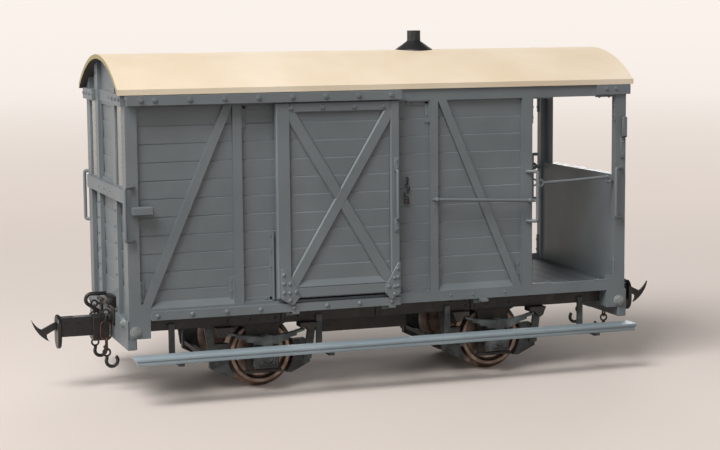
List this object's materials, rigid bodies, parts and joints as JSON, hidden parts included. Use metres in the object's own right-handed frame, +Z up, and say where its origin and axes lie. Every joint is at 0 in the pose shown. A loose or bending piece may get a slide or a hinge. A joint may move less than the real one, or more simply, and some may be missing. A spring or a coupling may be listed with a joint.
{
  "type": "narrow gauge brake van scale model",
  "caption": "Scale model of a four-wheel narrow gauge goods brake van with sliding side doors, an open end verandah, footboards and chopper couplers.",
  "frame": {"origin": "on the floor under the middle of the van, where the wheel flanges stand", "axes": "+X along the van towards the open verandah end, +Y across it to its left-hand side, +Z up"},
  "size_m": [0.2856, 0.104, 0.1476],
  "materials": {
    "body_grey": "satin grey paint",
    "floor_grey": "satin grey paint",
    "roof_cream": "matt cream paint",
    "footboard_blue": "satin blue-grey paint",
    "underframe_grey": "matt dark grey paint",
    "coupler_black": "satin black paint",
    "chain_brown": "chemically browned wire",
    "wheel_steel": "toned steel",
    "window_clear": "clear sheet"
  },
  "bodies": {
    "van": {"axleboxes_left": "underframe_grey", "axleboxes_right": "underframe_grey", "brake_beams": "underframe_grey", "brake_shoes_left": "underframe_grey", "brake_shoes_right": "underframe_grey", "bulkhead": "body_grey", "cabin_end_boards": "body_grey", "cabin_end_frame": "body_grey", "cabin_end_windows": "window_clear", "chimney": "coupler_black", "coupler_front": "coupler_black", "coupler_rear": "coupler_black", "coupling_hook_front": "coupler_black", "coupling_hook_rear": "coupler_black", "cross_bearers": "underframe_grey", "door_stop_left": "body_grey", "door_stop_right": "body_grey", "door_tracks_left": "body_grey", "door_tracks_right": "body_grey", "floor": "floor_grey", "footboard_hangers_left": "footboard_blue", "footboard_hangers_right": "footboard_blue", "footboard_left": "footboard_blue", "footboard_right": "footboard_blue", "grab_handles_left": "body_grey", "grab_handles_right": "body_grey", "handrail_left": "body_grey", "handrail_right": "body_grey", "headstock_front": "body_grey", "headstock_rear": "body_grey", "roof": "roof_cream", "side_boards_left": "body_grey", "side_boards_right": "body_grey", "side_chains_front": "chain_brown", "side_chains_rear": "chain_brown", "side_frame_left": "body_grey", "side_frame_right": "body_grey", "solebar_left": "underframe_grey", "solebar_right": "underframe_grey", "springs_left": "underframe_grey", "springs_right": "underframe_grey", "underfloor_box": "body_grey", "verandah_bar_left": "coupler_black", "verandah_bar_right": "coupler_black", "verandah_end_boards": "body_grey", "verandah_end_frame": "body_grey", "w_irons_left": "underframe_grey", "w_irons_right": "underframe_grey"},
    "door_left": {"door_boards_left": "body_grey", "door_frame_left": "body_grey", "door_handle_left": "body_grey"},
    "door_right": {"door_boards_right": "body_grey", "door_frame_right": "body_grey", "door_handle_right": "body_grey"},
    "bulkhead_door": {"bulkhead_door": "body_grey"},
    "wheelset_front": {"axle_front": "wheel_steel", "wheels_front": "wheel_steel"},
    "wheelset_rear": {"axle_rear": "wheel_steel", "wheels_rear": "wheel_steel"}
  },
  "joints": [
    {"name": "wheelset_front_spin", "type": "hinge", "parent": "van", "child": "wheelset_front", "pos_m": [0.052, 0, 0.0152], "axis": [0, 1, 0], "continuous": true},
    {"name": "wheelset_rear_spin", "type": "hinge", "parent": "van", "child": "wheelset_rear", "pos_m": [-0.052, 0, 0.0152], "axis": [0, 1, 0], "continuous": true},
    {"name": "door_left_slide", "type": "slide", "parent": "van", "child": "door_left", "axis": [-1, 0, 0], "range_m": [0, 0.05]},
    {"name": "door_right_slide", "type": "slide", "parent": "van", "child": "door_right", "axis": [-1, 0, 0], "range_m": [0, 0.05]},
    {"name": "bulkhead_door_swing", "type": "hinge", "parent": "van", "child": "bulkhead_door", "pos_m": [0.0643, 0.0118, 0], "axis": [0, 0, 1], "range_deg": [0, 95]}
  ]
}
